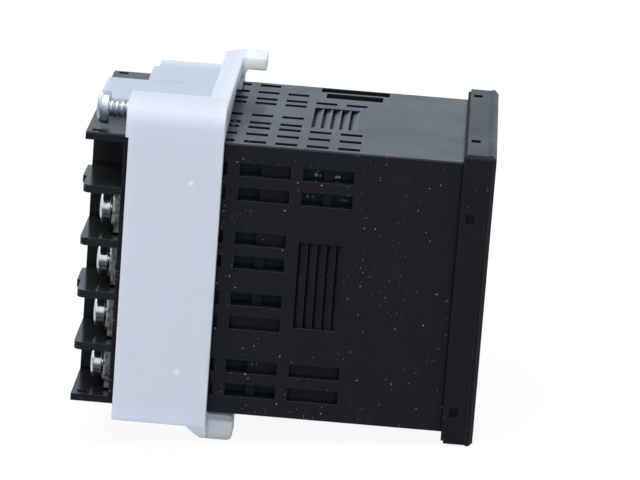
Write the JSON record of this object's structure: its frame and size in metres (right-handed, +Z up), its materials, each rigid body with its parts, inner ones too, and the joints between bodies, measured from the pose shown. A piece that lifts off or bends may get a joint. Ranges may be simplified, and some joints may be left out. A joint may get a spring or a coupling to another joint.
{
  "type": "pid temperature controller",
  "caption": "Square panel-mount temperature controller with a rear screw-terminal block, front display and keys, and a sliding mounting bracket with clamp screws.",
  "frame": {"origin": "on the body's axis, in the plane where the gasket of the front bezel meets the panel", "axes": "+X to the right seen from the front, +Y from the front towards the terminals, +Z up"},
  "size_m": [0.0488, 0.0658, 0.0564],
  "materials": {
    "case_plastic": "fine moulded texture, black",
    "cover_plastic": "satin, black",
    "window_plastic": "clear gloss, dark tint",
    "display_glass": "gloss",
    "key_plastic": "satin, dark grey",
    "seal_rubber": "matte",
    "circuit_board": "satin, dark green",
    "part_plastic": "matte, black",
    "ferrite": "matte, dark grey",
    "relay_plastic": "satin, near black",
    "can_aluminium": "sleeved can",
    "tinned_pin": "tinned",
    "contact_brass": "satin",
    "bracket_plastic": "satin, pale grey",
    "zinc_steel": "bright zinc plated"
  },
  "bodies": {
    "case_body": {"case": "case_plastic", "terminal_block": "case_plastic", "terminal_plates": "zinc_steel", "terminal_washers": "zinc_steel", "terminal_screws": "zinc_steel", "panel_gasket": "seal_rubber", "bezel_frame": "case_plastic", "front_cover": "cover_plastic", "display_window": "window_plastic", "display_module": "display_glass", "display_board": "circuit_board", "key_switches": "part_plastic", "main_board": "circuit_board", "power_board": "circuit_board", "link_board": "circuit_board", "board_headers": "part_plastic", "transformer": "ferrite", "relays": "relay_plastic", "capacitor": "can_aluminium", "processor": "part_plastic", "solder_pins": "tinned_pin", "port_contacts": "contact_brass"},
    "menu_key": {"key_menu": "key_plastic"},
    "shift_key": {"key_shift": "key_plastic"},
    "down_key": {"key_down": "key_plastic"},
    "up_key": {"key_up": "key_plastic"},
    "bracket": {"mounting_bracket": "bracket_plastic"},
    "upper_screw": {"clamp_screw_upper": "zinc_steel"},
    "lower_screw": {"clamp_screw_lower": "zinc_steel"}
  },
  "joints": [
    {"name": "bracket_slide", "type": "slide", "parent": "case_body", "child": "bracket", "axis": [0, 1, 0], "range_m": [-0.0325, 0.027]},
    {"name": "upper_screw_drive", "type": "slide", "parent": "bracket", "child": "upper_screw", "axis": [0, -1, 0], "range_m": [0, 0.0032]},
    {"name": "lower_screw_drive", "type": "slide", "parent": "bracket", "child": "lower_screw", "axis": [0, -1, 0], "range_m": [0, 0.0032]},
    {"name": "menu_press", "type": "slide", "parent": "case_body", "child": "menu_key", "axis": [0, 1, 0], "range_m": [0, 0.00035], "stiffness_N_per_m": 2000, "springref_m": -0.0003},
    {"name": "shift_press", "type": "slide", "parent": "case_body", "child": "shift_key", "axis": [0, 1, 0], "range_m": [0, 0.00035], "stiffness_N_per_m": 2000, "springref_m": -0.0003},
    {"name": "down_press", "type": "slide", "parent": "case_body", "child": "down_key", "axis": [0, 1, 0], "range_m": [0, 0.00035], "stiffness_N_per_m": 2000, "springref_m": -0.0003},
    {"name": "up_press", "type": "slide", "parent": "case_body", "child": "up_key", "axis": [0, 1, 0], "range_m": [0, 0.00035], "stiffness_N_per_m": 2000, "springref_m": -0.0003}
  ]
}
